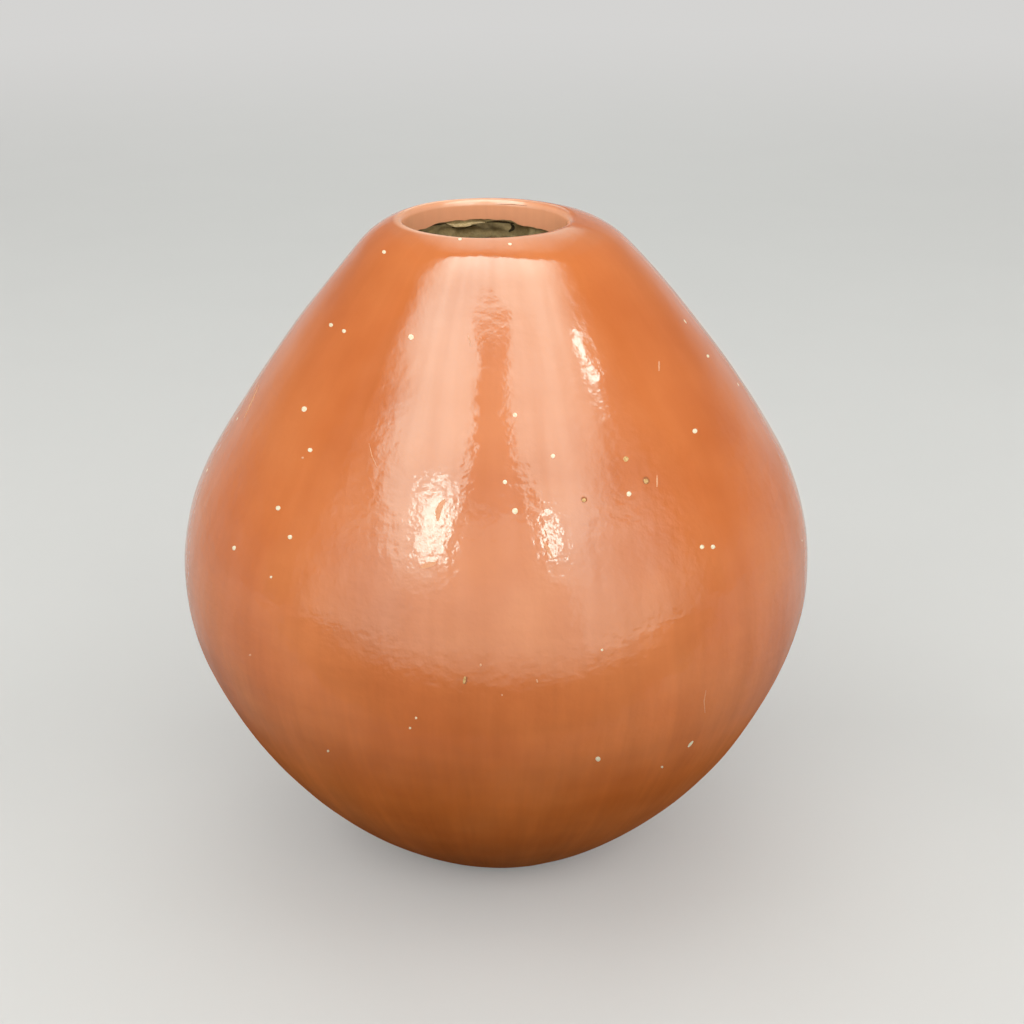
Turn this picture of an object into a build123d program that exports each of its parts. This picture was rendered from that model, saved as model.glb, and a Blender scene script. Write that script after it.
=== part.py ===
# Hand-built burnished olla.
# A base pressed in a bowl mould, coils of clay lapped one on another, a thickened
# lip coil, and one coat of red slip over the outside and a little way into the mouth.
# Every piece is turned from the same wall section, so neighbours share their faces.
import os
from math import acos, atan2, cos, degrees, hypot, pi, radians, sin, sqrt

from build123d import *

# Finished outside of the pot, in millimetres and degrees
overall_height = 250.0
belly_radius = 120.0
belly_height = 115.0
foot_radius = 36.0
mouth_radius = 30.0
foot_round = 20.0
bowl_round = 168.0
lower_belly_round = 82.0
upper_belly_round = 93.0
shoulder_round = 454.0
crown_round = 36.0
crown_slope = 15.0
lip_round = 2.5
lip_under_round = 3.0
lip_depth = 14.0

# Clay wall and its coat of slip
wall_thickness = 5.5
slip_thickness = 0.5
slip_clearance = 0.1
foot_bare_margin = 4.0
lip_bare_margin = 4.0

# Coils, measured along the finished surface
base_reach = 100.0
lip_coil_width = 26.0
coil_count = 8
seam_lap = 5.0
coil_bulge = 0.6


class Straight:
    # A straight stretch of the section, with the clay on the left of its heading.
    def __init__(self, start, heading, length):
        self.start = start
        self.heading = heading
        self.length = length

    def point(self, run, depth):
        along = (cos(self.heading), sin(self.heading))
        r = self.start[0] + run * along[0] - depth * along[1]
        z = self.start[1] + run * along[1] + depth * along[0]
        return (r, z)

    def edge(self, first, last, depth):
        return Line(self.point(first, depth), self.point(last, depth))


class Bend:
    # A round stretch of the section, with the clay on the side of its centre.
    def __init__(self, centre, radius, start, end):
        self.centre = centre
        self.radius = radius
        self.start = start
        self.length = radius * (end - start)

    def point(self, run, depth):
        turn = self.start + run / self.radius
        reach = self.radius - depth
        return (self.centre[0] + reach * cos(turn), self.centre[1] + reach * sin(turn))

    def edge(self, first, last, depth):
        start = degrees(self.start + first / self.radius)
        sweep = degrees((last - first) / self.radius)
        return CenterArc(self.centre, self.radius - depth, start, sweep)


def joining_bend(first_centre, first_radius, last_centre, last_radius, radius):
    # Centre of the long curve that wraps two smaller ones, and where it meets each.
    across = last_centre[0] - first_centre[0]
    up = last_centre[1] - first_centre[1]
    span = hypot(across, up)
    to_first = radius - first_radius
    to_last = radius - last_radius
    along = (to_first**2 - to_last**2 + span**2) / (2 * span)
    aside = sqrt(to_first**2 - along**2)
    centre = (
        first_centre[0] + (along * across - aside * up) / span,
        first_centre[1] + (along * up + aside * across) / span,
    )
    meets_first = atan2(first_centre[1] - centre[1], first_centre[0] - centre[0])
    meets_last = atan2(last_centre[1] - centre[1], last_centre[0] - centre[0])
    return centre, meets_first, meets_last


def outside_section():
    # The finished surface from the middle of the foot, round the belly, to the foot
    # of the mouth's inside face.
    foot = (foot_radius, foot_round)
    lower_belly = (belly_radius - lower_belly_round, belly_height)
    bowl, bowl_start, bowl_end = joining_bend(
        foot, foot_round, lower_belly, lower_belly_round, bowl_round
    )
    lip = (mouth_radius + lip_round, overall_height - lip_round)
    crown_end = radians(90 - crown_slope)
    crown = (
        lip[0] - (crown_round - lip_round) * cos(crown_end),
        lip[1] - (crown_round - lip_round) * sin(crown_end),
    )
    upper_belly = (belly_radius - upper_belly_round, belly_height)
    shoulder, shoulder_start, shoulder_end = joining_bend(
        upper_belly, upper_belly_round, crown, crown_round, shoulder_round
    )
    mouth_face = lip_depth - lip_round - lip_under_round
    return [
        Straight((0, 0), 0, foot_radius),
        Bend(foot, foot_round, -pi / 2, bowl_start),
        Bend(bowl, bowl_round, bowl_start, bowl_end),
        Bend(lower_belly, lower_belly_round, bowl_end, 0),
        Bend(upper_belly, upper_belly_round, 0, shoulder_start),
        Bend(shoulder, shoulder_round, shoulder_start, shoulder_end),
        Bend(crown, crown_round, shoulder_end, crown_end),
        Bend(lip, lip_round, crown_end, pi),
        Straight((mouth_radius, lip[1]), -pi / 2, mouth_face),
    ]


section = outside_section()
mouth_end = sum(stretch.length for stretch in section)
crown_run = sum(stretch.length for stretch in section[:7])
slip_start = foot_radius + foot_bare_margin
slip_end = mouth_end - lip_bare_margin
clay_depth = slip_thickness + slip_clearance
lip_seam = crown_run - lip_coil_width
coil_width = (lip_seam - base_reach) / coil_count
seams = [base_reach + coil_width * index for index in range(coil_count + 1)]


def surface_point(run, depth):
    # A point so far along the finished surface, and so deep under it.
    for stretch in section[:-1]:
        if run <= stretch.length:
            return stretch.point(run, depth)
        run -= stretch.length
    return section[-1].point(run, depth)


def surface_edges(first, last, depth):
    # The finished surface between two runs, sunk by a depth.
    edges = []
    passed = 0
    for stretch in section:
        start = max(first - passed, 0)
        end = min(last - passed, stretch.length)
        if end - start > 1e-6:
            edges.append(stretch.edge(start, end, depth))
        passed += stretch.length
    return edges


def seam_inside(run):
    # Where the slanted lap of a seam comes out on the inside of the wall.
    return surface_point(run + seam_lap, wall_thickness)


def seam_edge(run):
    return Line(surface_point(run, clay_depth), seam_inside(run))


def step_edge(run, depth):
    # Where the slip ends, square to the surface.
    return Line(surface_point(run, 0), surface_point(run, depth))


def turned(edges):
    return revolve(Plane.XZ * make_face(edges), Axis.Z)


def base_pad():
    # Flat cake of clay pressed into the mould, bare where the pot stands.
    inside = surface_edges(0, base_reach + seam_lap, wall_thickness)
    edges = surface_edges(0, slip_start, 0)
    edges += [step_edge(slip_start, clay_depth)]
    edges += surface_edges(slip_start, base_reach, clay_depth)
    edges += [seam_edge(base_reach)]
    edges += inside
    edges += [Line((0, wall_thickness), (0, 0))]
    return turned(edges)


def wall_coil(first, last):
    # One coil, smooth outside, and left as a low cushion on the unworked inside.
    start = seam_inside(first)
    end = seam_inside(last)
    chord = hypot(end[0] - start[0], end[1] - start[1])
    middle = (
        (start[0] + end[0]) / 2 - coil_bulge * (end[1] - start[1]) / chord,
        (start[1] + end[1]) / 2 + coil_bulge * (end[0] - start[0]) / chord,
    )
    edges = surface_edges(first, last, clay_depth)
    edges += [seam_edge(first), seam_edge(last)]
    edges += [ThreePointArc(start, middle, end)]
    return turned(edges)


def lip_coil():
    # Thick last coil round the mouth, tapering back to the wall underneath.
    seat = seam_inside(lip_seam)
    face_end = surface_point(mouth_end, 0)
    under = (face_end[0] + lip_under_round, face_end[1])
    across = seat[0] - under[0]
    up = seat[1] - under[1]
    under_end = 2 * pi + atan2(up, across) - acos(lip_under_round / hypot(across, up))
    under_bend = Bend(under, lip_under_round, pi, under_end)
    edges = surface_edges(lip_seam, slip_end, clay_depth)
    edges += [step_edge(slip_end, clay_depth)]
    edges += surface_edges(slip_end, mouth_end, 0)
    edges += [under_bend.edge(0, under_bend.length, 0)]
    edges += [Line(under_bend.point(under_bend.length, 0), seat)]
    edges += [seam_edge(lip_seam)]
    return turned(edges)


def red_slip():
    # The burnished coat, from the bare margin of the foot to inside the lip.
    edges = surface_edges(slip_start, slip_end, 0)
    edges += [step_edge(slip_start, slip_thickness), step_edge(slip_end, slip_thickness)]
    edges += surface_edges(slip_start, slip_end, slip_thickness)
    return turned(edges)


pieces = {"base_pad": base_pad()}
for index in range(coil_count):
    pieces[f"wall_coil_{index + 1}"] = wall_coil(seams[index], seams[index + 1])
pieces["lip_coil"] = lip_coil()
pieces["red_slip"] = red_slip()

os.makedirs("parts", exist_ok=True)
for name, piece in pieces.items():
    piece.label = name
    export_step(piece, f"parts/{name}.step")
    print(name, round(piece.volume), "mm3")
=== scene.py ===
import random
from math import acos, atan2, ceil, cos, degrees, hypot, pi, radians, sin, sqrt

import bpy
from mathutils import Matrix, Vector


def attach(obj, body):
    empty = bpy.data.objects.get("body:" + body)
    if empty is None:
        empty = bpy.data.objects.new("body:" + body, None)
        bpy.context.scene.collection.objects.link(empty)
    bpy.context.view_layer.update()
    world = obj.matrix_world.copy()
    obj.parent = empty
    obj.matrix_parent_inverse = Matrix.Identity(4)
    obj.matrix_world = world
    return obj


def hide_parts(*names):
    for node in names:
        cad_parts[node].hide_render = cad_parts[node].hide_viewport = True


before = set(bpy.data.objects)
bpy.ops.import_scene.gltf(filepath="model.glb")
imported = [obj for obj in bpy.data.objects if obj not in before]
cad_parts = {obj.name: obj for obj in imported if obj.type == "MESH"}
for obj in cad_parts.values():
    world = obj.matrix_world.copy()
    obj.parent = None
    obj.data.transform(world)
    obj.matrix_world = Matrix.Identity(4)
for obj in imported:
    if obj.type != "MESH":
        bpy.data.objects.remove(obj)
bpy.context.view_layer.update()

mm = 0.001
closest = 0.01  # millimetres, within which two points are one
touching = 0.05  # millimetres, within which a vertex lies on a line


# sRGB hex to linear
def paint(hexCode):
    channels = [int(hexCode[i:i + 2], 16) / 255 for i in (1, 3, 5)]
    linear = [c / 12.92 if c <= 0.04045 else ((c + 0.055) / 1.055) ** 2.4 for c in channels]
    return (*linear, 1.0)


# one node, its settings, and what goes into its sockets
def addNode(material, kind, inputs={}, stops=(), **settings):
    node = material.node_tree.nodes.new(kind)
    for name, value in settings.items():
        setattr(node, name, value)
    for name, value in inputs.items():
        if isinstance(value, bpy.types.NodeSocket):
            material.node_tree.links.new(value, node.inputs[name])
        else:
            node.inputs[name].default_value = value
    for i, (place, colour) in enumerate(stops):
        stop = node.color_ramp.elements[i] if i < 2 else node.color_ramp.elements.new(place)
        stop.position, stop.color = place, colour
    return node


def newMaterial(name):
    material = bpy.data.materials.new(name)
    material.use_nodes = True
    material.node_tree.nodes.clear()
    return material


def selectOnly(*pieces):
    bpy.ops.object.select_all(action="DESELECT")
    for piece in pieces:
        piece.select_set(True)
    bpy.context.view_layer.objects.active = pieces[0]


def faceOutwards():
    bpy.ops.object.mode_set(mode="EDIT")
    bpy.ops.mesh.select_all(action="SELECT")
    bpy.ops.mesh.normals_make_consistent(inside=False)
    bpy.ops.object.mode_set(mode="OBJECT")


# the wall's section, the same curves as the solids, in millimetres
potShape = {
    "height": 250.0, "bellyRadius": 120.0, "bellyHeight": 115.0,
    "footRadius": 36.0, "footRound": 20.0, "bowlRound": 168.0,
    "lowerBellyRound": 82.0, "upperBellyRound": 93.0, "shoulderRound": 454.0,
    "crownRound": 36.0, "crownSlope": 15.0,
    "mouthRadius": 30.0, "lipRound": 2.5, "lipUnderRound": 3.0, "lipDepth": 14.0,
    "wall": 5.5, "slip": 0.5, "clayDepth": 0.6,
    "slipStart": 40.0, "lipBare": 4.0,
    "baseReach": 100.0, "lipCoilWidth": 26.0, "coils": 8, "lap": 5.0, "bulge": 0.6,
    "ringsPerRadius": 7,  # how closely a tight bend is divided
}


# centre of a long curve that wraps two smaller ones, and where it meets each
def joiningBend(firstCentre, firstRadius, lastCentre, lastRadius, radius):
    span = Vector(lastCentre) - Vector(firstCentre)
    toFirst, toLast = radius - firstRadius, radius - lastRadius
    along = (toFirst**2 - toLast**2 + span.length_squared) / (2 * span.length)
    aside = sqrt(toFirst**2 - along**2)
    unit = span.normalized()
    centre = Vector(firstCentre) + along * unit + aside * Vector((-unit.y, unit.x))
    return (centre, atan2(firstCentre[1] - centre.y, firstCentre[0] - centre.x),
            atan2(lastCentre[1] - centre.y, lastCentre[0] - centre.x))


# stretches of the section, from the middle of the foot to the inside of the mouth:
# ("line", start, heading, length) or ("bend", centre, radius, angle, length)
def wallSection(s):
    foot = (s["footRadius"], s["footRound"])
    lowerBelly = (s["bellyRadius"] - s["lowerBellyRound"], s["bellyHeight"])
    upperBelly = (s["bellyRadius"] - s["upperBellyRound"], s["bellyHeight"])
    lip = (s["mouthRadius"] + s["lipRound"], s["height"] - s["lipRound"])
    crownEnd = radians(90 - s["crownSlope"])
    crown = (lip[0] - (s["crownRound"] - s["lipRound"]) * cos(crownEnd),
             lip[1] - (s["crownRound"] - s["lipRound"]) * sin(crownEnd))
    bowl, bowlStart, bowlEnd = joiningBend(
        foot, s["footRound"], lowerBelly, s["lowerBellyRound"], s["bowlRound"])
    shoulder, shoulderStart, shoulderEnd = joiningBend(
        upperBelly, s["upperBellyRound"], crown, s["crownRound"], s["shoulderRound"])
    bends = [
        (foot, s["footRound"], -pi / 2, bowlStart),
        (bowl, s["bowlRound"], bowlStart, bowlEnd),
        (lowerBelly, s["lowerBellyRound"], bowlEnd, 0),
        (upperBelly, s["upperBellyRound"], 0, shoulderStart),
        (shoulder, s["shoulderRound"], shoulderStart, shoulderEnd),
        (crown, s["crownRound"], shoulderEnd, crownEnd),
        (lip, s["lipRound"], crownEnd, pi),
    ]
    stretches = [("line", (0, 0), 0, s["footRadius"])]
    for centre, radius, start, end in bends:
        stretches.append(("bend", centre, radius, start, radius * (end - start)))
    face = s["lipDepth"] - s["lipRound"] - s["lipUnderRound"]
    stretches.append(("line", (s["mouthRadius"], lip[1]), -pi / 2, face))
    return stretches


section = wallSection(potShape)
mouthEnd = sum(stretch[-1] for stretch in section)
crownRun = sum(stretch[-1] for stretch in section[:7])
slipEnd = mouthEnd - potShape["lipBare"]
lipSeam = crownRun - potShape["lipCoilWidth"]
coilWidth = (lipSeam - potShape["baseReach"]) / potShape["coils"]
seams = [potShape["baseReach"] + coilWidth * i for i in range(potShape["coils"] + 1)]


# a point so far along the finished surface and so deep under it
def wallPoint(run, depth):
    for stretch in section:
        if run <= stretch[-1] or stretch is section[-1]:
            break
        run -= stretch[-1]
    if stretch[0] == "line":
        (r, z), heading = stretch[1], stretch[2]
        return Vector((r + run * cos(heading) - depth * sin(heading),
                       z + run * sin(heading) + depth * cos(heading)))
    centre, radius = stretch[1], stretch[2]
    angle = stretch[3] + run / radius
    return Vector((centre[0] + (radius - depth) * cos(angle), centre[1] + (radius - depth) * sin(angle)))


# points along the surface between two runs, closer together where it bends tightly
def wallLine(first, last, depth, step):
    points, passed = [], 0
    for stretch in section:
        start, end = max(first - passed, 0), min(last - passed, stretch[-1])
        if end - start > 1e-6:
            tight = stretch[2] / potShape["ringsPerRadius"] if stretch[0] == "bend" else step
            count = max(1, ceil((end - start) / min(step, tight)))
            for i in range(count):
                points.append(wallPoint(passed + start + (end - start) * i / count, depth))
        passed += stretch[-1]
    return points + [wallPoint(last, depth)]


def straightLine(start, end, step):
    count = max(1, ceil((end - start).length / step))
    return [start.lerp(end, i / count) for i in range(count + 1)]


# which point of a line a vertex stands on, or None
def placeOn(line, p):
    nearest = min(range(len(line)), key=lambda i: (p - line[i]).length)
    return nearest if (p - line[nearest]).length < touching else None


# a vertex pulled out along the outline, then spun round the pot's axis
def turnPiece(name, outline, steps, groups):
    points = [outline[0]]
    for point in outline[1:]:
        if (point - points[-1]).length > closest:
            points.append(point)
    if (points[-1] - points[0]).length > closest:
        points.append(points[0])
    bpy.ops.object.select_all(action="DESELECT")
    bpy.ops.mesh.primitive_plane_add(size=1 * mm, location=(0, 0, 0))
    piece = bpy.context.object
    piece.name = piece.data.name = name
    bpy.ops.object.mode_set(mode="EDIT")
    bpy.ops.mesh.select_all(action="SELECT")
    bpy.ops.mesh.merge(type="CENTER")
    bpy.ops.transform.translate(value=(points[0].x * mm, 0, points[0].y * mm))
    for here, there in zip(points, points[1:]):
        move = (there - here) * mm
        bpy.ops.mesh.extrude_region_move(TRANSFORM_OT_translate={"value": (move.x, 0, move.y)})
    bpy.ops.object.mode_set(mode="OBJECT")
    for groupName, weight in groups.items():  # weights ride along when the outline is spun
        group = piece.vertex_groups.new(name=groupName)
        for vertex in piece.data.vertices:
            group.add([vertex.index], weight(Vector((vertex.co.x, vertex.co.z)) / mm), "REPLACE")
    bpy.ops.object.mode_set(mode="EDIT")
    bpy.ops.mesh.select_all(action="SELECT")
    bpy.ops.mesh.spin(steps=steps, angle=2 * pi, center=(0, 0, 0), axis=(0, 0, 1))
    bpy.ops.mesh.select_all(action="SELECT")
    bpy.ops.mesh.remove_doubles(threshold=closest * mm)
    bpy.ops.mesh.normals_make_consistent(inside=False)
    bpy.ops.object.mode_set(mode="OBJECT")
    return piece


def cloudTexture(name, size, depth=1):
    texture = bpy.data.textures.new(name, type="CLOUDS")
    texture.noise_scale, texture.noise_depth = size * mm, depth
    return texture


def pressSurface(piece, texture, strength, direction="NORMAL", group="", middle=0.5):
    press = piece.modifiers.new("press", "DISPLACE")
    press.texture, press.texture_coords, press.direction = texture, "LOCAL", direction
    press.strength, press.mid_level, press.vertex_group = strength * mm, middle, group
    bpy.context.view_layer.objects.active = piece
    bpy.ops.object.modifier_apply(modifier="press")


# how far a hand-built pot is from a turned one, in millimetres
handMade = {
    "lean": (0.9, 0.9, 0.2, -0.4, -0.4, 0.3, 0.8, -0.3, 0.9),  # sideways, from the foot to the lip
    "leanCage": (260.0, 260.0, 270.0), "leanMiddle": 125.0,
    "mouthShift": (-6.6, -0.6), "mouthFull": 31.0, "mouthNone": 43.0,  # across and up, within these radii
    "mouthReach": 72.0, "mouthTall": 80.0, "mouthMiddle": 235.0, "mouthKnots": 9, "mouthLevels": 4,
    "wobble": 1.3, "wobbleWide": 58.0, "wobbleDeep": 48.14,
}


# a cage round the whole pot for its lean, and one round the mouth for its shift
def makeCages(h):
    bpy.ops.object.select_all(action="DESELECT")
    bpy.ops.object.add(type="LATTICE", location=(0, 0, h["leanMiddle"] * mm))
    lean = bpy.context.object
    lean.name, lean.scale = "leanCage", Vector(h["leanCage"]) * mm
    lean.data.points_u, lean.data.points_v, lean.data.points_w = 2, 2, len(h["lean"])
    for i, point in enumerate(lean.data.points):  # four points at each level
        point.co_deform.x += h["lean"][i // 4] * mm / lean.scale.x
    bpy.ops.object.add(type="LATTICE", location=(0, 0, h["mouthMiddle"] * mm))
    mouth = bpy.context.object
    mouth.name = "mouthCage"
    mouth.scale = Vector((2 * h["mouthReach"], 2 * h["mouthReach"], h["mouthTall"])) * mm
    knots = h["mouthKnots"]
    half = knots // 2
    mouth.data.points_u, mouth.data.points_v, mouth.data.points_w = knots, knots, h["mouthLevels"]
    for i, point in enumerate(mouth.data.points):
        u, v, level = i % knots, i // knots % knots, i // knots**2
        away = hypot(u - half, v - half) * h["mouthReach"] / half
        share = min(1, max(0, (h["mouthNone"] - away) / (h["mouthNone"] - h["mouthFull"])))
        if level > 0:
            point.co_deform.x += share * h["mouthShift"][0] * mm / mouth.scale.x
            point.co_deform.z += share * h["mouthShift"][1] * mm / mouth.scale.z
    return lean, mouth


leanCage, mouthCage = makeCages(handMade)
wobbleAcross = cloudTexture("wobbleAcross", handMade["wobbleWide"], 0)
wobbleDeep = cloudTexture("wobbleDeep", handMade["wobbleDeep"], 0)


# every piece leans and wobbles alike, so neighbours stay against each other
def handShape(piece):
    pressSurface(piece, wobbleAcross, handMade["wobble"], "X")
    pressSurface(piece, wobbleDeep, handMade["wobble"], "Y")
    for cage in (leanCage, mouthCage):
        bend = piece.modifiers.new("bend", "LATTICE")
        bend.object = cage
        bpy.ops.object.modifier_apply(modifier="bend")


def finishPiece(piece, material, slot, *nodes, angle=50):
    selectOnly(piece)
    bpy.ops.object.shade_smooth_by_angle(angle=radians(angle))
    piece.vertex_groups.clear()
    piece.data.materials.clear()
    piece.data.materials.append(material)
    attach(piece, "root")
    if nodes:
        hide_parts(*nodes)


# Iron-red clay slip, rubbed with a pebble before firing: an even brick orange with a wet-looking
# shine, faint upright strokes low on the body, and a paler coat inside the mouth: thinner, and partly
# painted light that brightens the shaded inner face.
slipFinish = {
    # inside the mouth: a thinner coat's paler tone, lifted further as painted light on the shaded inner face
    "deep": "#CB692A", "main": "#D27132", "pale": "#D8793B", "thinAndLit": "#E8A379",
    # patterns: width in millimetres, detail, roughness
    "patterns": {
        "clouds": (48.0, 3.0, 0.5), "strokes": (11.0, 3.0, 0.68), "bands": (14.0, 2.0, 0.5),
        "ripples": (2.3, 1.0, 0.5), "marks": (3.6, 2.0, 0.5), "grain": (0.7, 2.0, 0.6),
    },
    "drum": 100.0, "stretch": 0.12,  # strokes are drawn on a drum of this radius, eight times as long as wide
    # from one height in millimetres to another, and the share at each: rubbed to a shine down to the belly,
    # and less and less towards the foot; streaked low down; calmer towards the mouth
    "byHeight": {
        "streaks": (160, 105, 0.16, 0.44), "polish": (60, 140, 0.03, 0.95),
        "marks": (212, 165, 0.45, 1.0), "ripples": (225, 195, 0.3, 1.0),
    },
    "relief": {"strokes": 0.008, "ripples": 0.042, "marks": 0.19, "grain": 0.006},  # millimetres
    "brushed": (0.4, 1.1), "thinAndLitTones": (0.94, 1.06), "polishTones": (0.76, 1.2),
    "roughness": (0.3, 0.42), "coatRoughness": 0.1,
    "mouthMiddle": -4.7, "thinAndLitStart": 33.2, "thinAndLitFull": 31.4,  # the paler coat, thin and partly painted light, lies within these radii
}


def burnishedSlip(f):
    material = newMaterial("burnishedRedSlip")
    place = addNode(material, "ShaderNodeTexCoord").outputs["Object"]
    xyz = addNode(material, "ShaderNodeSeparateXYZ", {0: place})
    # wrapped onto a drum, so that strokes run straight up the pot or straight round it
    flat = addNode(material, "ShaderNodeCombineXYZ", {"X": xyz.outputs["X"], "Y": xyz.outputs["Y"]})
    rise = addNode(material, "ShaderNodeCombineXYZ", {"Z": xyz.outputs["Z"]})
    drum = addNode(material, "ShaderNodeVectorMath", {0: flat.outputs[0]}, operation="NORMALIZE")
    drum = addNode(material, "ShaderNodeVectorMath", {0: drum.outputs[0], "Scale": f["drum"] * mm},
                   operation="SCALE")
    drum = addNode(material, "ShaderNodeVectorMath", {0: drum.outputs[0], 1: rise.outputs[0]},
                   operation="ADD")
    upright = addNode(material, "ShaderNodeMapping", {
        "Vector": drum.outputs[0], "Scale": (1, 1, f["stretch"])})
    around = addNode(material, "ShaderNodeMapping", {
        "Vector": drum.outputs[0], "Scale": (f["stretch"], f["stretch"], 1)})
    follows = {"strokes": upright.outputs[0], "bands": around.outputs[0], "ripples": around.outputs[0]}
    pattern, share = {}, {}
    for name, (width, detail, rough) in f["patterns"].items():
        noise = addNode(material, "ShaderNodeTexNoise", {
            "Vector": follows.get(name, place), "Scale": 1 / (width * mm),
            "Detail": detail, "Roughness": rough})
        pattern[name] = noise.outputs["Fac"]
    for name, (start, end, first, last) in f["byHeight"].items():
        level = addNode(material, "ShaderNodeMapRange", {
            "Value": xyz.outputs["Z"], "From Min": start * mm, "From Max": end * mm,
            "To Min": first, "To Max": last}, interpolation_type="SMOOTHSTEP")
        share[name] = level.outputs[0]

    # colour: clouded all over, brushed along and across, paler inside the mouth: a thin coat, partly painted
    # light
    cloudy = addNode(material, "ShaderNodeValToRGB", {"Fac": pattern["clouds"]},
                     stops=[(0.32, paint(f["deep"])), (0.68, paint(f["pale"])), (0.5, paint(f["main"]))])
    # half as strong round the pot as up it, which makes 0.75 on average
    brushed = addNode(material, "ShaderNodeMath", {0: pattern["bands"], 1: 0.5, 2: pattern["strokes"]},
                      operation="MULTIPLY_ADD")
    centred = addNode(material, "ShaderNodeMath", {0: brushed.outputs[0], 1: 0.75}, operation="SUBTRACT")
    streak = addNode(material, "ShaderNodeMath", {0: centred.outputs[0], 1: share["streaks"], 2: 1.0},
                     operation="MULTIPLY_ADD")
    body = addNode(material, "ShaderNodeVectorMath", {0: cloudy.outputs["Color"], "Scale": streak.outputs[0]},
                   operation="SCALE")
    mouth = addNode(material, "ShaderNodeVectorMath", {0: flat.outputs[0], 1: (f["mouthMiddle"] * mm, 0, 0)},
                    operation="DISTANCE")
    inside = addNode(material, "ShaderNodeMapRange", {
        "Value": mouth.outputs["Value"], "From Min": f["thinAndLitStart"] * mm, "From Max": f["thinAndLitFull"] * mm},
        interpolation_type="SMOOTHSTEP")
    tones = []
    for low, high in (f["thinAndLitTones"], f["polishTones"]):
        tone = addNode(material, "ShaderNodeMapRange", {
            "Value": brushed.outputs[0], "From Min": f["brushed"][0], "From Max": f["brushed"][1],
            "To Min": low, "To Max": high})
        tones.append(tone.outputs[0])
    thinAndLit = addNode(material, "ShaderNodeVectorMath", {0: paint(f["thinAndLit"])[:3], "Scale": tones[0]},
                   operation="SCALE")
    colour = addNode(material, "ShaderNodeMix", {
        "Factor": inside.outputs[0], 6: body.outputs[0], 7: thinAndLit.outputs[0]}, data_type="RGBA")

    # shine and relief
    shine = addNode(material, "ShaderNodeMapRange", {
        "Value": pattern["strokes"], "From Min": 0.25, "From Max": 0.75,
        "To Min": f["roughness"][0], "To Max": f["roughness"][1]})
    polish = addNode(material, "ShaderNodeMath", {0: share["polish"], 1: tones[1]}, operation="MULTIPLY")
    below = {}
    for name, depth in f["relief"].items():  # each relief lies on the one before
        height = pattern[name]
        if name in share:
            height = addNode(material, "ShaderNodeMath", {0: height, 1: share[name]},
                             operation="MULTIPLY").outputs[0]
        relief = addNode(material, "ShaderNodeBump", {
            "Height": height, "Distance": depth * mm, "Strength": 1.0, **below})
        below = {"Normal": relief.outputs[0]}
    clay = addNode(material, "ShaderNodeBsdfPrincipled", {
        "Base Color": colour.outputs[2], "Roughness": shine.outputs[0], "IOR": 1.5, "Specular IOR Level": 0.0,
        "Normal": relief.outputs[0], "Coat Weight": polish.outputs[0], "Coat Roughness": f["coatRoughness"],
        "Coat IOR": 1.65, "Coat Normal": relief.outputs[0]})
    addNode(material, "ShaderNodeOutputMaterial", {"Surface": clay.outputs[0]})
    return material


# Bare low-fired earthenware, pressed with the fingers and never smoothed: matt khaki, gritty,
# with darker patches at random; the dark in its creases is painted shade, laid on as separate strips.
clayFinish = {
    "dark": "#645130", "main": "#957F50", "pale": "#B5A070", "roughness": 0.93,
    "patchSize": 16.0, "gritSize": 0.9, "gritDepth": 0.5, "gritTones": (0.82, 1.15),
}


def rawClay(f):
    material = newMaterial("rawEarthenware")
    place = addNode(material, "ShaderNodeTexCoord").outputs["Object"]
    patches = addNode(material, "ShaderNodeTexNoise", {
        "Vector": place, "Scale": 1 / (f["patchSize"] * mm), "Detail": 5.0, "Roughness": 0.6})
    grit = addNode(material, "ShaderNodeTexNoise", {
        "Vector": place, "Scale": 1 / (f["gritSize"] * mm), "Detail": 3.0, "Roughness": 0.7})
    patchy = addNode(material, "ShaderNodeValToRGB", {"Fac": patches.outputs["Fac"]},
                     stops=[(0.3, paint(f["dark"])), (0.72, paint(f["pale"])), (0.5, paint(f["main"]))])
    speck = addNode(material, "ShaderNodeMapRange", {
        "Value": grit.outputs["Fac"], "From Min": 0.3, "From Max": 0.7,
        "To Min": f["gritTones"][0], "To Max": f["gritTones"][1]})
    colour = addNode(material, "ShaderNodeVectorMath", {
        0: patchy.outputs["Color"], "Scale": speck.outputs[0]}, operation="SCALE")
    relief = addNode(material, "ShaderNodeBump", {
        "Height": grit.outputs["Fac"], "Distance": f["gritDepth"] * mm, "Strength": 0.8})
    clay = addNode(material, "ShaderNodeBsdfPrincipled", {
        "Base Color": colour.outputs[0], "Roughness": f["roughness"], "IOR": 1.5, "Specular IOR Level": 0.3,
        "Normal": relief.outputs[0]})
    addNode(material, "ShaderNodeOutputMaterial", {"Surface": clay.outputs[0]})
    return material


slipMaterial = burnishedSlip(slipFinish)
clayMaterial = rawClay(clayFinish)
print("materials mixed")

# red slip: one thin shell over the outside, over the lip and a little way down inside
slipCoat = {
    "steps": 288, "ring": 1.9, "backRing": 9.0, "facets": 0.26, "facetSize": 16.0,
    "torn": 1.6, "tornSize": 9.0, "nicks": 0.7, "nickSize": 2.5, "tornRise": 3.0,
    # azimuth from the back, and how far the lower edge inside the mouth hangs there
    "edgeDrop": [(-180, 2.6), (-70, 2.6), (-48, 1.6), (-36, 0.6),
                 (18, 0.6), (27, 2.6), (60, 2.8), (180, 2.6)],
}


# a value between the stops of a list
def between(stops, place):
    for (start, low), (end, high) in zip(stops, stops[1:]):
        if place <= end:
            return low + (high - low) * (place - start) / (end - start)
    return stops[-1][1]


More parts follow.
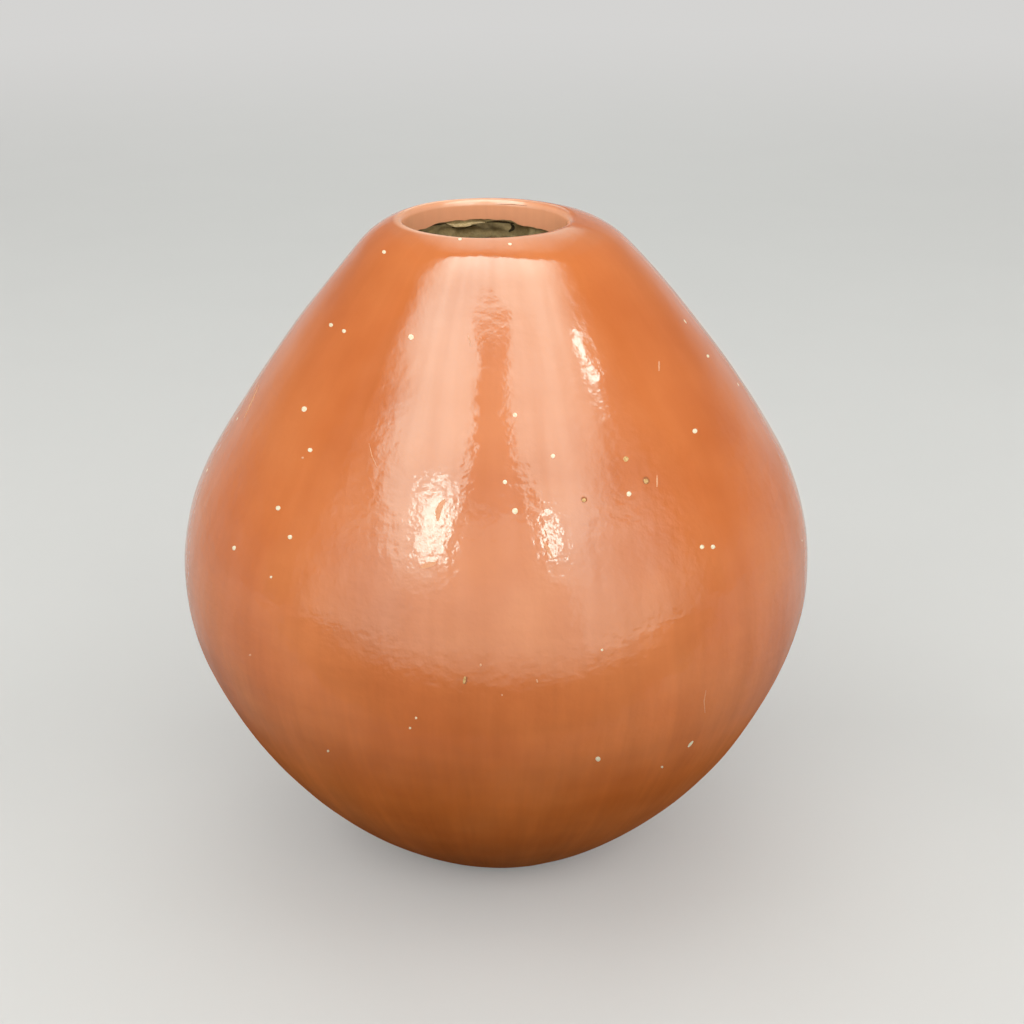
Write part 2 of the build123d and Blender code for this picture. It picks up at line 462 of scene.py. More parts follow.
def makeSlip(c):
    outside = wallLine(potShape["slipStart"], slipEnd, 0, c["ring"])
    back = wallLine(potShape["slipStart"], slipEnd, potShape["slip"], c["backRing"])
    faceTop = potShape["height"] - potShape["lipRound"]

    def onOutside(p):
        return 0.0 if placeOn(outside, p) is None else 1.0

    def onTornEdge(p):
        inMouth = p.x < potShape["mouthRadius"] + 1 and p.y < faceTop
        return min(1.0, max(0.0, (faceTop - p.y) / c["tornRise"])) if inMouth else 0.0

    groups = {"outside": onOutside, "tornEdge": onTornEdge}
    piece = turnPiece("redSlip", outside + back[::-1], c["steps"], groups)
    pressSurface(piece, cloudTexture("pebbleFacets", c["facetSize"]), c["facets"], group="outside")
    for vertex in piece.data.vertices:  # the brush went deeper at the sides than at the back
        p = Vector((hypot(vertex.co.x, vertex.co.y), vertex.co.z)) / mm
        azimuth = degrees(atan2(vertex.co.x, vertex.co.y))
        vertex.co.z -= onTornEdge(p) * between(c["edgeDrop"], azimuth) * mm
    pressSurface(piece, cloudTexture("tornEdge", c["tornSize"]), c["torn"], "Z", "tornEdge")
    pressSurface(piece, cloudTexture("nickedEdge", c["nickSize"]), c["nicks"], "Z", "tornEdge")
    handShape(piece)
    return piece


redSlip = makeSlip(slipCoat)
finishPiece(redSlip, slipMaterial, "slip", "red_slip")
print("red slip", len(redSlip.data.polygons), "faces")

# lip coil: thick, turned in, left lumpy and creased below the slip
lipCoil = {
    "steps": 260, "step": 1.0, "seamStep": 2.0, "turnSteps": 6, "sag": 4.0,
    "lumps": 4.5, "lumpSize": 8.0, "lumpsStart": 8.0, "lumpsFull": 11.0, "seatFade": 6.0,
    # azimuth from the back, half width in degrees, depth below the lip, half height, push towards the axis
    "pinches": [(-15, 15, 10.0, 1.3, 2.4), (24, 6, 12.0, 3.5, -3.0), (-2, 22, 13.0, 1.5, -1.5)],
    "pinchStart": 7.5, "pinchReach": 6.0,
}


def makeLipCoil(c):
    depth, underRound = potShape["clayDepth"], potShape["lipUnderRound"]
    seat = wallPoint(lipSeam + potShape["lap"], potShape["wall"])
    under = wallPoint(mouthEnd, depth) + Vector((underRound, -c["sag"]))
    toSeat = seat - under
    underEnd = 2 * pi + atan2(toSeat.y, toSeat.x) - acos(underRound / toSeat.length)
    angles = [pi + (underEnd - pi) * i / c["turnSteps"] for i in range(c["turnSteps"] + 1)]
    turn = [under + underRound * Vector((cos(angle), sin(angle))) for angle in angles]
    bare = straightLine(wallPoint(slipEnd, depth), turn[0], c["step"]) + turn
    bare += straightLine(turn[-1], seat, c["step"])
    outline = wallLine(lipSeam, slipEnd, depth, c["step"]) + bare
    outline += straightLine(seat, wallPoint(lipSeam, depth), c["seamStep"])

    def onBare(p):
        if placeOn(bare, p) is None:
            return 0.0
        below = potShape["height"] - p.y
        start = min(1, max(0, (below - c["lumpsStart"]) / (c["lumpsFull"] - c["lumpsStart"])))
        return start * min(1, (seat - p).length / c["seatFade"])

    piece = turnPiece("lipCoil", outline, c["steps"], {"bare": onBare})
    lumps = cloudTexture("lipLumps", c["lumpSize"], 2)
    lumps.noise_type = "HARD_NOISE"
    pressSurface(piece, lumps, c["lumps"], group="bare", middle=0.55)
    for vertex in piece.data.vertices:
        away, below = hypot(vertex.co.x, vertex.co.y) / mm, potShape["height"] - vertex.co.z / mm
        inReach = away < potShape["mouthRadius"] + c["pinchReach"] and below > c["pinchStart"]
        for azimuth, wide, deep, tall, push in c["pinches"]:
            aside = degrees(atan2(vertex.co.x, vertex.co.y)) - azimuth
            off = hypot(aside / wide, (below - deep) / tall)
            if off < 1 and inReach:
                vertex.co.xy *= 1 - push * (1 - off**2) / away
    handShape(piece)
    return piece


lipPiece = makeLipCoil(lipCoil)
finishPiece(lipPiece, clayMaterial, "clay", "lip_coil", angle=180)
print("lip coil", len(lipPiece.data.polygons), "faces")

# wall coils: smooth outside under the slip, finger-pressed cushions inside
wallCoils = {"steps": 160, "outStep": 6.0, "inStep": 3.0, "dents": 1.2, "dentSize": 20.0}
fingerDents = cloudTexture("fingerDents", wallCoils["dentSize"])


def makeWallCoil(number, c):
    first, last = seams[number - 1], seams[number]
    start, end = [wallPoint(run + potShape["lap"], potShape["wall"]) for run in (first, last)]
    chord = end - start
    inward = Vector((-chord.y, chord.x)).normalized()
    count = ceil(chord.length / c["inStep"])
    inside = []
    for i in range(count + 1):
        cushion = potShape["bulge"] * (1 - (2 * i / count - 1)**2)
        inside.append(start.lerp(end, i / count) + inward * cushion)
    outline = wallLine(first, last, potShape["clayDepth"], c["outStep"]) + inside[::-1]

    def onInside(p):
        i = placeOn(inside, p)
        return 0.0 if i is None else sin(pi * i / count)

    piece = turnPiece(f"wallCoil{number}", outline, c["steps"], {"inside": onInside})
    pressSurface(piece, fingerDents, c["dents"], group="inside")
    handShape(piece)
    return piece


for number in range(1, potShape["coils"] + 1):
    coil = makeWallCoil(number, wallCoils)
    finishPiece(coil, clayMaterial, "clay", f"wall_coil_{number}", angle=180)
print("wall coils", potShape["coils"])

# base pad: the cake of clay pressed into the mould, bare where the pot stands
basePad = {"steps": 160, "outStep": 3.0, "inStep": 4.0, "dents": 1.2, "dentFade": 3}


def makeBasePad(c):
    reach = potShape["baseReach"]
    outline = wallLine(0, potShape["slipStart"], 0, c["outStep"])
    outline += wallLine(potShape["slipStart"], reach, potShape["clayDepth"], c["outStep"])
    inside = wallLine(0, reach + potShape["lap"], potShape["wall"], c["inStep"])

    def onInside(p):
        i = placeOn(inside, p)
        return 0.0 if i is None else min(1.0, (len(inside) - 1 - i) / c["dentFade"])

    piece = turnPiece("basePad", outline + inside[::-1], c["steps"], {"inside": onInside})
    pressSurface(piece, fingerDents, c["dents"], group="inside")
    handShape(piece)
    return piece


finishPiece(makeBasePad(basePad), clayMaterial, "clay", "base_pad", angle=40)
print("base pad")

# camera at the viewing angle of the picture: millimetres, degrees, and pixels of its frame
view = {"place": (5.9, -646.4, 395.4), "down": 22.01, "focal": 1800.0, "frame": 1024, "sensor": 36.0}
bpy.ops.object.camera_add(location=Vector(view["place"]) * mm, rotation=(radians(90 - view["down"]), 0, 0))
camera = bpy.context.object
camera.data.sensor_width = view["sensor"]
camera.data.lens = view["sensor"] * view["focal"] / view["frame"]
camera.data.clip_start = 0.01
bpy.context.scene.camera = camera
bpy.context.view_layer.update()


# from the camera through a pixel of the picture to a piece, so that small marks sit on its surface
def seatOn(piece, across, down):
    half = view["frame"] / 2
    local = Vector(((across - half) / view["focal"], (half - down) / view["focal"], -1))
    along = (camera.matrix_world.to_3x3() @ local).normalized()
    found, place, normal, face = piece.ray_cast(camera.location, along)
    return place, normal


# small marks: dry and matt, finely mottled, with a chalky tooth; sizes in millimetres
markFinish = {"mottle": 0.5, "tooth": 0.1, "toothStrength": 0.6}


def mattMark(name, main, shade, roughness, f=markFinish):
    material = newMaterial(name)
    place = addNode(material, "ShaderNodeTexCoord").outputs["Object"]
    chalk = addNode(material, "ShaderNodeTexNoise", {
        "Vector": place, "Scale": 1 / (f["mottle"] * mm), "Detail": 3.0})
    tone = addNode(material, "ShaderNodeValToRGB", {"Fac": chalk.outputs["Fac"]},
                   stops=[(0.35, paint(shade)), (0.6, paint(main))])
    relief = addNode(material, "ShaderNodeBump", {
        "Height": chalk.outputs["Fac"], "Distance": f["tooth"] * mm, "Strength": f["toothStrength"]})
    grain = addNode(material, "ShaderNodeBsdfPrincipled", {
        "Base Color": tone.outputs["Color"], "Roughness": roughness, "Specular IOR Level": 0.1,
        "Normal": relief.outputs[0]})
    addNode(material, "ShaderNodeOutputMaterial", {"Surface": grain.outputs[0]})
    return material


limeMaterial = mattMark("burntLime", "#FAEFD2", "#E6D3A8", 0.8)  # chalk-white grains, laid bare
gritMaterial = mattMark("tanGrit", "#E2BC80", "#B98A4C", 0.7)  # sandy temper, tan and dull
scratchMaterial = mattMark("scratchedClay", "#E4AE86", "#D89264", 0.6)  # slip scratched pale
crackShadeMaterial = mattMark("paintedCrackShade", "#B06A40", "#9A5630", 0.9)  # painted shade: the brown dark in the lip's crack and on the shadowed side of the pits round the grit
dentReflectionMaterial = mattMark("dentPaintedReflection", "#E4A47C", "#D89468", 0.7)  # matt patch where a dent breaks the shine; its pale tone is painted reflection, the dim sheen the dent shows
curlHighlightMaterial = mattMark("clayCurlHighlight", "#C9B285", "#A88F5E", 0.9)  # a curl of raw clay; its pale tone is partly painted highlight where the ridge catches light
creviceShadeMaterial = mattMark("paintedCreviceShade", "#3E3018", "#2A200F", 0.95)  # painted shade: near-black brown for the creases under the slip, where the clay lies in shadow

# flecks seen from the camera: across, down, width and height in pixels of the picture
limeFlecks = {
    "seen": [(331, 325, 4, 4), (344, 331, 4, 4), (411, 337, 5.5, 5.5), (384, 252, 2.4, 4.6),
             (460, 239, 4, 2.5), (510, 244, 4, 2.5), (304, 409, 4.5, 6), (310, 450, 4.5, 4.5),
             (278, 508, 4.5, 5), (290, 537, 4.5, 4.5), (234, 548, 3.5, 5), (515, 415, 4.5, 4.5),
             (553, 456, 4.5, 4.5), (505, 482, 4.5, 4.5), (515, 511, 6, 6), (629, 494, 5, 5),
             (708, 356, 3.5, 3.5), (695, 431, 5, 5), (702, 547, 4.5, 4.5), (713, 547, 4.5, 4.5),
             (271, 577, 2.5, 2.5), (416, 718, 2.5, 2.5), (410, 728, 2.5, 2.5), (328, 751, 2.5, 2.5),
             (602, 650, 2.5, 2.5), (598, 759, 5, 5), (662, 767, 2.5, 2.5)],
    "tan": [(584, 500, 4.5, 4.5), (626, 459, 5.5, 5.5), (646, 481, 5, 6), (464.5, 680, 2.4, 8)],
    # painted shadows: dark rims round the tan grit and a dark streak beside the long pit, where the pits fall
    # into shade
    "pitShadows": [(646, 480.6, 6.4, 8.4), (584, 499.5, 6.0, 6.4), (466, 680.8, 2.4, 8)],
    "chips": [(480.6, 665, 2.2, 3), (502, 695, 1.8, 2), (537, 681, 1.8, 3.5), (250, 655, 2.2, 2.2),
              (302.6, 457.8, 2.4, 2.4)],
    "enlarged": 1.15, "leastTilt": 0.45,  # a low dome loses its rim; one at the edge isn't drawn out more
    "proud": 0.07, "pitShadowProud": 0.025, "lumpiness": 0.05, "lumpSeed": 4,  # millimetres
    # the far side: how many, and the azimuths, heights, widths and stretch they are drawn from
    "unseen": 44, "seed": 7, "azimuths": (70, 290), "heights": (45, 240),
    "widths": (0.8, 0.9, 1.3, 1.5, 1.6, 1.8), "stretch": (0.9, 1.3),
}


def modelGrain(c):
    bpy.ops.object.select_all(action="DESELECT")
    bpy.ops.mesh.primitive_ico_sphere_add(subdivisions=2, radius=0.5 * mm, location=(0, 0, 0))
    grain = bpy.context.object
    bpy.ops.object.mode_set(mode="EDIT")
    bpy.ops.mesh.select_all(action="SELECT")
    bpy.ops.transform.vertex_random(offset=c["lumpiness"] * mm, seed=c["lumpSeed"])
    bpy.ops.object.mode_set(mode="OBJECT")
    return grain


# one low dome of lime, let into the slip so that only its top is proud
def setGrain(grain, place, normal, side, width, height, proud):
    selectOnly(grain)
    bpy.ops.object.duplicate()
    copy = bpy.context.object
    turned = Matrix((side, normal.cross(side), normal)).transposed().to_4x4()
    deep = 4 * proud  # its middle is sunk by as much as its top stands proud
    sunk = Matrix.Translation(place - normal * proud * mm)
    copy.matrix_world = sunk @ turned @ Matrix.Diagonal((width, height, deep, 1))
    bpy.ops.object.transform_apply(location=True, rotation=True, scale=True)
    return copy


def joinGrains(copies, name, material):
    selectOnly(*copies)
    bpy.ops.object.join()
    joined = bpy.context.object
    joined.name = joined.data.name = name
    faceOutwards()
    finishPiece(joined, material, "clay", angle=60)


def makeFlecks(c):
    grain = modelGrain(c)
    chance = random.Random(c["seed"])
    for name, spots, material, proud in (
        ("limeFlecks", c["seen"], limeMaterial, c["proud"]),
        ("tanGrit", c["tan"], gritMaterial, c["proud"]),
        ("pitShade", c["pitShadows"], crackShadeMaterial, c["pitShadowProud"]),
        ("clayChips", c["chips"], scratchMaterial, c["proud"]),
    ):
        copies = []
        for across, down, width, height in spots:
            place, normal = seatOn(redSlip, across, down)
            toCamera = camera.location - place
            pixel = c["enlarged"] * toCamera.length / view["focal"] / mm
            side = toCamera.cross(normal).normalized()  # square to the tilt, so not foreshortened
            lean = camera.matrix_world.to_3x3().inverted() @ side
            tilt = max(c["leastTilt"], abs(normal.dot(toCamera.normalized())))
            wide = hypot(width * lean.x, height * lean.y) * pixel
            tall = hypot(width * lean.y, height * lean.x) / tilt * pixel
            copies.append(setGrain(grain, place, normal, side, wide, tall, proud))
        joinGrains(copies, name, material)
    copies = []
    for i in range(c["unseen"]):  # the far side is as thickly set as the near side
        azimuth, height = radians(chance.uniform(*c["azimuths"])), chance.uniform(*c["heights"])
        outward = Vector((sin(azimuth), -cos(azimuth), 0))
        start = outward * 0.3 + Vector((0, 0, height * mm))  # clear of the belly
        found, place, normal, face = redSlip.ray_cast(start, -outward)
        wide = chance.choice(c["widths"])
        side = normal.cross(Vector((chance.uniform(-1, 1), chance.uniform(-1, 1), 1))).normalized()
        tall = wide * chance.uniform(*c["stretch"])
        copies.append(setGrain(grain, place, normal, side, wide, tall, c["proud"]))
    joinGrains(copies, "limeFlecksBehind", limeMaterial)
    bpy.data.objects.remove(grain)


makeFlecks(limeFlecks)
print("flecks set")

# hairlines: a track of pixels, the width in pixels, the thickness in millimetres, what it lies on,
# and how it looks
hairlines = {
    "scratchUpright": ([(244, 418), (253, 399), (259, 385)], 1.2, 0.05, redSlip, scratchMaterial),
    "scratchCurved": ([(369, 443), (372, 456), (377, 467)], 0.8, 0.05, redSlip, scratchMaterial),
    "scratchShort": ([(468, 335), (471, 346)], 0.8, 0.05, redSlip, scratchMaterial),
    "scratchRight": ([(659, 361), (659, 371)], 1.6, 0.05, redSlip, scratchMaterial),
    "scratchFaint": ([(706, 690), (704, 701), (705, 713)], 0.7, 0.05, redSlip, scratchMaterial),
    "scratchLow": ([(693, 741), (688, 747)], 2.4, 0.05, redSlip, limeMaterial),
    "scratchByGrit": ([(657, 475), (657, 487)], 1.5, 0.05, redSlip, scratchMaterial),
    # painted shade in the lip's hairline crack
    "lipCrack": ([(496, 203.8), (512, 204.4), (527, 205.8)], 0.7, 0.05, redSlip, crackShadeMaterial),
    # dents in the shine: matt patches whose pale colour is painted reflection
    "dentUpper": ([(445.5, 499), (441, 505), (438, 512), (437.5, 521)], 6.0, 0.05, redSlip, dentReflectionMaterial),
    "dentLower": ([(420.5, 568), (428, 565), (436.5, 562.5)], 5.5, 0.05, redSlip, dentReflectionMaterial),
    "dentRight": ([(543, 541), (548, 549), (553.5, 559)], 3.6, 0.05, redSlip, dentReflectionMaterial),
    # the curl under the slip's edge: raw clay, painted paler as a highlight on the lit ridge
    "clayCurl": ([(446.5, 223.3), (454.5, 225.7), (464, 225.2), (473.7, 223.6), (484.8, 222.2)],
                 2.4, 0.5, lipPiece, curlHighlightMaterial),
    # painted shade: dark strips along the creases under the slip's torn edge, where the raw clay lies in
    # shadow
    "creaseShadeLeft": ([(430, 225.4), (438, 224.4), (446, 223.4)], 1.6, 0.05, lipPiece, creviceShadeMaterial),
    "creaseShadeUnder": ([(452, 227.6), (460, 227.8), (468, 226.6), (477, 225)],
                    1.6, 0.05, lipPiece, creviceShadeMaterial),
    "creaseShadeBack": ([(487, 222), (498, 221.5), (508, 222.4), (515, 223.6)],
                   2.2, 0.05, lipPiece, creviceShadeMaterial),
    "creaseShadeDeep": ([(511, 223.5), (513.5, 226), (512.5, 229), (509, 231.5)],
                   3.0, 0.5, lipPiece, creviceShadeMaterial),
}
hairShape = {"step": 2, "tip": 0.25, "lift": 0.005}  # pixels, share of the width at the ends, millimetres


def makeHairline(name, track, width, thickness, under, material, c=hairShape):
    points = []
    for start, end in zip(track, track[1:]):
        count = max(2, ceil((Vector(end) - Vector(start)).length / c["step"]))
        points += [Vector(start).lerp(Vector(end), i / count) for i in range(count)]
    points.append(Vector(track[-1]))
    last = len(points) - 1
    bpy.ops.object.select_all(action="DESELECT")
    bpy.ops.mesh.primitive_grid_add(x_subdivisions=last, y_subdivisions=1, size=1, location=(0, 0, 0))
    line = bpy.context.object
    line.name = line.data.name = name
    for vertex in line.data.vertices:  # each vertex of the strip is snapped to what it lies on
        i, row = vertex.index % len(points), vertex.index // len(points)
        ahead = points[min(i + 1, last)] - points[max(i - 1, 0)]
        taper = c["tip"] + (1 - c["tip"]) * sin(pi * (i + 0.5) / len(points))
        across = Vector((-ahead.y, ahead.x)).normalized() * width * (row - 0.5) * taper
        place, normal = seatOn(under, *(points[i] + across))
        vertex.co = place + normal * (c["lift"] + thickness / 2) * mm
    thick = line.modifiers.new("thick", "SOLIDIFY")
    thick.thickness, thick.offset = thickness * mm, 0
    bpy.ops.object.modifier_apply(modifier="thick")
    faceOutwards()
    finishPiece(line, material, "slip" if under is redSlip else "clay")


for name, line in hairlines.items():
    makeHairline(name, *line)
print("hairlines drawn")

# studio: pale floor, wide lamps that light the pot evenly, and bright panels that show only in its shine
studio = {
    "floor": "#C0BEBA", "floorGlow": 0.12, "floorBounce": "#262523", "floorSize": 14.0, "floorMottle": 0.02,
    "farFloor": "#FCFBF9", "farGlow": 0.68, "farStart": 1.0, "farFull": 2.6,  # evenly pale past these metres
    "air": "#F2F2F0", "airShown": 0.68, "airHigh": 0.36, "airFade": 0.3, "airLight": 0.06,
    "aim": 0.13,  # metres above the floor, where the lamps point
    # lamps: azimuth from the front, elevation, distance, width, height, brightness
    "lamps": {
        "frontLamp": (0, 28, 2.0, 3.6, 1.6, 2.35), "leftLamp": (-78, 34, 1.7, 1.6, 1.6, 1.85),
        "rightLamp": (80, 26, 1.7, 1.6, 1.6, 2.0), "topLamp": (0, 84, 1.2, 0.9, 0.9, 1.1),
        "backLamp": (180, 34, 3.0, 3.8, 2.2, 1.8),
    },
    "panelColour": "#C8F9F4",
    # panels: corners in metres from the top left round to the bottom left, then brightness at the top and
    # bottom, the share over which it fades at the left, right, top and bottom, the least that is left of it,
    # and how mottled it is
    "panels": {
        "ceilingPanel": ((-0.6, 0.23, 1.4), (0.7, 0.23, 1.4), (1.6, -0.59, 1.4), (-1.65, -0.59, 1.4),
                         (8.4, 6.0), (0.3, 0.34, 0, 0), 0.8, 0),
        "ceilingBack": ((-1.8, 4.5, 2.0), (1.8, 4.5, 2.0), (1.0, 0.2, 2.0), (-1.0, 0.2, 2.0),
                        (2.4, 2.4), (0.5, 0.5, 0, 0.2), 0.45, 0),
        "leftPanel": ((-1.65, -0.59, 1.4), (-0.13, -0.59, 1.4), (-0.14, -1.1, 1.4), (-2.05, -1.1, 1.4),
                      (6.0, 5.5), (0.46, 0.06, 0, 0), 1.0, 0),
        "leftLower": ((-2.05, -1.1, 1.4), (-0.14, -1.1, 1.4), (-0.45, -1.5, 1.4), (-2.2, -1.5, 1.4),
                      (5.5, 5.3), (0.49, 0.06, 0, 0), 1.2, 0),
        "leftUpright": ((-1.67, -1.5, 1.4), (-0.45, -1.5, 1.4), (-0.45, -1.5, 0.7), (-1.4, -1.5, 0.7),
                        (5.3, 2.8), (0.3, 0.1, 0, 0), 2.6, 0),
        "leftWindow": ((-1.0, -1.05, 1.39), (-0.5, -1.15, 1.39), (-0.5, -1.5, 1.39), (-1.08, -1.5, 1.39),
                       (19.0, 21.5), (0.35, 0.12, 0.4, 0), 5.6, 0.7),
        "leftWindowLow": ((-1.08, -1.49, 1.39), (-0.5, -1.49, 1.39), (-0.48, -1.49, 1.06),
                          (-0.95, -1.49, 1.06), (21.5, 18.0), (0.35, 0.12, 0, 0.3), 4.2, 0.7),
        "gapTop": ((-0.2, -0.59, 1.395), (0.16, -0.59, 1.395), (0.16, -0.62, 1.395), (-0.2, -0.62, 1.395),
                   (5.6, 1.6), (0, 0, 0, 0), 0.0, 0),
        "gapPanel": ((-0.6, -0.4, 1.45), (0.6, -0.4, 1.45), (1.0, -1.6, 1.45), (-1.0, -1.6, 1.45),
                     (1.6, 1.6), (0, 0, 0, 0), 0.0, 0),
        "rightPanel": ((0.09, -0.59, 1.4), (1.6, -0.59, 1.4), (2.1, -1.1, 1.4), (0.1, -1.1, 1.4),
                       (5.4, 4.6), (0.06, 0.72, 0, 0), 1.2, 0),
        "rightLower": ((0.1, -1.1, 1.4), (2.1, -1.1, 1.4), (2.4, -1.5, 1.4), (0.43, -1.5, 1.4),
                       (4.6, 4.5), (0.06, 0.65, 0, 0), 1.4, 0),
        "rightUpright": ((0.43, -1.5, 1.4), (1.8, -1.5, 1.4), (1.8, -1.5, 0.75), (0.41, -1.5, 0.75),
                         (4.6, 3.4), (0.08, 0.6, 0, 0), 2.8, 0),
        "rightWindow": ((0.48, -1.45, 1.46), (0.76, -1.45, 1.46), (0.7, -1.45, 0.94), (0.45, -1.45, 0.94),
                        (21.0, 21.0), (0.15, 0.3, 0.2, 0.2), 3.8, 0.5),
        "sideWindow": ((0.89, -0.36, 1.39), (1.0, -0.26, 1.39), (1.1, -0.42, 1.39), (0.99, -0.53, 1.39),
                       (18.2, 18.2), (0.1, 0.1, 0.1, 0.2), 1.4, 0),
        "roomPanel": ((-1.3, -1.9, 3.2), (1.3, -1.9, 3.2), (1.3, -1.9, 0.004), (-1.3, -1.9, 0.004),
                      (2.6, 2.3), (0, 0, 0, 0), 0.5, 0),
        "roomLeft": ((-2.6, -0.1, 2.9), (-1.17, -1.87, 2.9), (-1.17, -1.87, 0.004), (-2.6, -0.1, 0.004),
                     (3.6, 2.6), (0.9, 0, 0.3, 0), 0.5, 0),
        "roomRight": ((0.89, -1.88, 2.9), (2.6, -0.1, 2.9), (2.6, -0.1, 0.004), (0.89, -1.88, 0.004),
                      (3.8, 2.8), (0, 0.85, 0.3, 0), 0.5, 0),
        "roomFloor": ((-3.0, -1.9, 0.004), (3.0, -1.9, 0.004), (1.0, -0.2, 0.004), (-1.0, -0.2, 0.004),
                      (2.6, 1.5), (0.36, 0.36, 0, 0.3), 0.6, 0),
    },
}


# 1 where the camera sees something itself, in a shine or through glass, and 0 where it only gives light
def seenItself(material):
    path = addNode(material, "ShaderNodeLightPath")
    seen = addNode(material, "ShaderNodeMath", {
        0: path.outputs["Is Camera Ray"], 1: path.outputs["Is Glossy Ray"]}, operation="MAXIMUM")
    seen = addNode(material, "ShaderNodeMath", {
        0: seen.outputs[0], 1: path.outputs["Is Transmission Ray"]}, operation="MAXIMUM")
    return seen.outputs[0]


def layFloor(s):
    bpy.ops.object.select_all(action="DESELECT")
    bpy.ops.mesh.primitive_plane_add(size=s["floorSize"], location=(0, 0, 0))
    floor = bpy.context.object
    floor.name = "studioFloor"
    paper = newMaterial("mattPaper")  # dull pulp paper, faintly uneven
    place = addNode(paper, "ShaderNodeTexCoord").outputs["Object"]
    seen = seenItself(paper)
    tone = addNode(paper, "ShaderNodeTexNoise", {"Vector": place, "Scale": 9.0, "Detail": 3.0})
    soft = addNode(paper, "ShaderNodeMapRange", {
        "Value": tone.outputs["Fac"], "To Min": 1 - s["floorMottle"], "To Max": 1 + s["floorMottle"]})
    pale = addNode(paper, "ShaderNodeVectorMath", {0: paint(s["floor"])[:3], "Scale": soft.outputs[0]},
                   operation="SCALE")
    colour = addNode(paper, "ShaderNodeMix", {
        "Factor": seen, 6: paint(s["floorBounce"]), 7: pale.outputs[0]}, data_type="RGBA")
    glow = addNode(paper, "ShaderNodeMath", {0: seen, 1: s["floorGlow"]}, operation="MULTIPLY")
    near = addNode(paper, "ShaderNodeBsdfPrincipled", {
        "Base Color": colour.outputs[2], "Roughness": 0.9, "Specular IOR Level": 0.2,
        "Emission Color": paint("#FFFFFF"), "Emission Strength": glow.outputs[0]})
    reach = addNode(paper, "ShaderNodeVectorMath", {0: place}, operation="LENGTH")
    away = addNode(paper, "ShaderNodeMapRange", {
        "Value": reach.outputs["Value"], "From Min": s["farStart"], "From Max": s["farFull"]},
        interpolation_type="SMOOTHSTEP")
    away = addNode(paper, "ShaderNodeMath", {0: away.outputs[0], 1: seen}, operation="MULTIPLY")
    far = addNode(paper, "ShaderNodeEmission", {"Color": paint(s["farFloor"]), "Strength": s["farGlow"]})
    sheet = addNode(paper, "ShaderNodeMixShader", {0: away.outputs[0], 1: near.outputs[0], 2: far.outputs[0]})
    addNode(paper, "ShaderNodeOutputMaterial", {"Surface": sheet.outputs[0]})
    floor.data.materials.append(paper)


def hangLamps(s):
    for name, (azimuth, elevation, distance, width, height, bright) in s["lamps"].items():
        a, e = radians(azimuth), radians(elevation)
        away = Vector((sin(a) * cos(e), -cos(a) * cos(e), sin(e)))
        bpy.ops.object.light_add(type="AREA", location=Vector((0, 0, s["aim"])) + away * distance)
        lamp = bpy.context.object
        lamp.name = name
        lamp.data.shape, lamp.data.size, lamp.data.size_y = "RECTANGLE", width, height
        lamp.data.energy = pi * width * height * bright
        lamp.visible_glossy = False
        lamp.rotation_euler = away.to_track_quat("Z", "Y").to_euler()


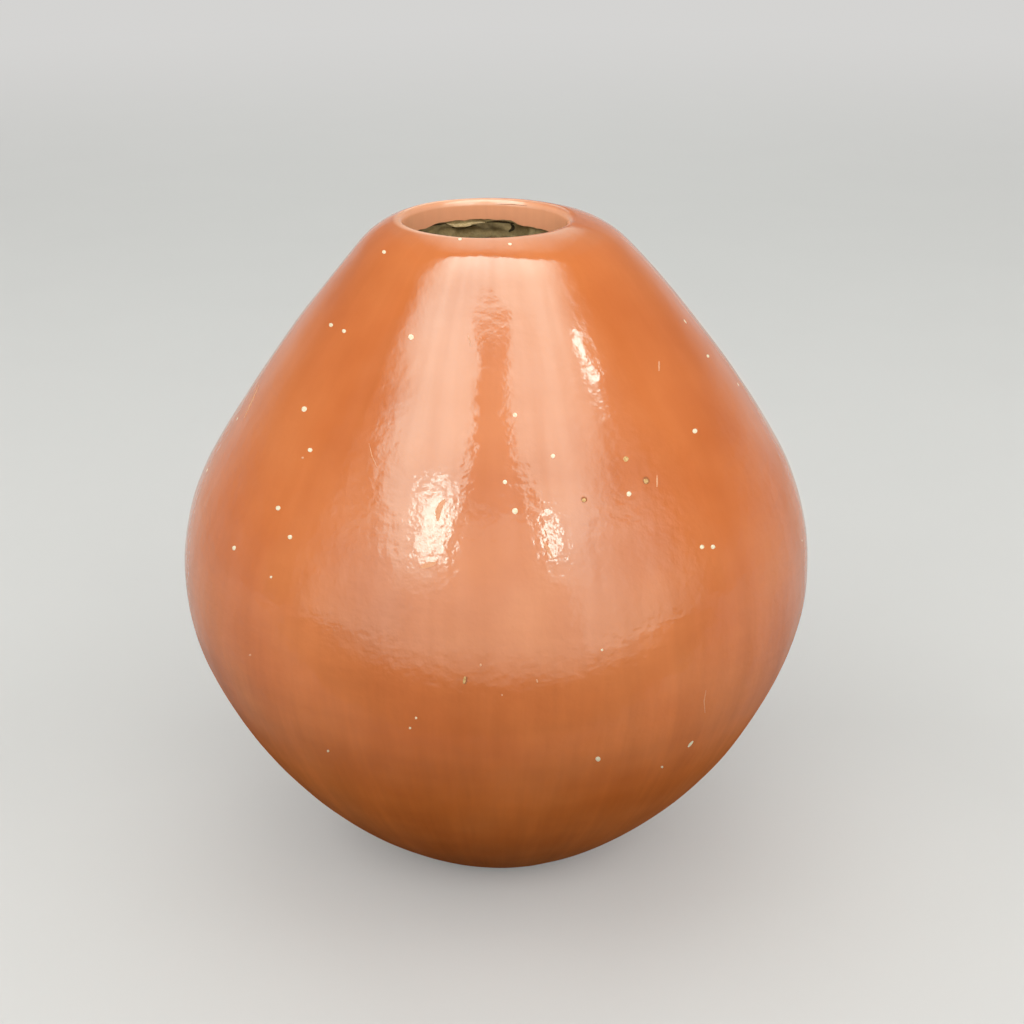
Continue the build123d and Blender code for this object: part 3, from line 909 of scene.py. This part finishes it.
def panelGlow(name, colour, bright, soft, least, mottle):
    glow = newMaterial(name)
    place = addNode(glow, "ShaderNodeTexCoord").outputs["UV"]
    sheet = addNode(glow, "ShaderNodeSeparateXYZ", {0: place})
    power = addNode(glow, "ShaderNodeMapRange", {
        "Value": sheet.outputs["Y"], "To Min": bright[1], "To Max": bright[0]})
    for axis, rim, fade in (("X", 0, soft[0]), ("X", 1, -soft[1]), ("Y", 1, -soft[2]), ("Y", 0, soft[3])):
        if fade:
            edge = addNode(glow, "ShaderNodeMapRange", {
                "Value": sheet.outputs[axis], "From Min": rim, "From Max": rim + fade},
                interpolation_type="SMOOTHSTEP")
            power = addNode(glow, "ShaderNodeMath", {0: power.outputs[0], 1: edge.outputs[0]},
                            operation="MULTIPLY")
    patches = addNode(glow, "ShaderNodeTexNoise", {"Vector": place, "Scale": 5.0, "Detail": 3.0})
    mottled = addNode(glow, "ShaderNodeMapRange", {
        "Value": patches.outputs["Fac"], "From Min": 0.4, "From Max": 0.6,
        "To Min": 1 - mottle, "To Max": 1.0})
    power = addNode(glow, "ShaderNodeMath", {0: power.outputs[0], 1: mottled.outputs[0]},
                    operation="MULTIPLY")
    power = addNode(glow, "ShaderNodeMath", {0: power.outputs[0], 1: least}, operation="MAXIMUM")
    light = addNode(glow, "ShaderNodeEmission", {"Color": paint(colour), "Strength": power.outputs[0]})
    addNode(glow, "ShaderNodeOutputMaterial", {"Surface": light.outputs[0]})
    return glow


def hangPanels(s):
    for name, (*corners, bright, soft, least, mottle) in s["panels"].items():
        bpy.ops.mesh.primitive_grid_add(x_subdivisions=8, y_subdivisions=8, size=1, location=(0, 0, 0))
        panel = bpy.context.object
        panel.name = name
        topLeft, topRight, bottomRight, bottomLeft = [Vector(corner) for corner in corners]
        for vertex in panel.data.vertices:
            across, up = vertex.co.x + 0.5, vertex.co.y + 0.5
            vertex.co = bottomLeft.lerp(bottomRight, across).lerp(topLeft.lerp(topRight, across), up)
        panel.data.materials.append(panelGlow(name, s["panelColour"], bright, soft, least, mottle))
        panel.visible_camera = panel.visible_diffuse = False
        panel.visible_transmission = panel.visible_shadow = False


# pale air round the studio, dimmer overhead, that gives the pot little light
def fillAir(s):
    world = bpy.context.scene.world or bpy.data.worlds.new("studioAir")
    bpy.context.scene.world = world
    world.use_nodes = True
    world.node_tree.nodes.clear()
    facing = addNode(world, "ShaderNodeTexCoord").outputs["Generated"]
    rise = addNode(world, "ShaderNodeSeparateXYZ", {0: facing}).outputs["Z"]
    fading = addNode(world, "ShaderNodeMapRange", {
        "Value": rise, "From Max": s["airFade"], "To Min": s["airShown"], "To Max": s["airHigh"]},
        interpolation_type="SMOOTHSTEP")
    strength = addNode(world, "ShaderNodeMapRange", {
        "Value": seenItself(world), "To Min": s["airLight"], "To Max": fading.outputs[0]})
    air = addNode(world, "ShaderNodeBackground", {"Color": paint(s["air"]), "Strength": strength.outputs[0]})
    addNode(world, "ShaderNodeOutputWorld", {"Surface": air.outputs[0]})


layFloor(studio)
hangLamps(studio)
hangPanels(studio)
fillAir(studio)
bpy.context.scene.view_settings.view_transform = "Standard"
print("studio lit")

for cage in (leanCage, mouthCage):
    bpy.data.objects.remove(cage)
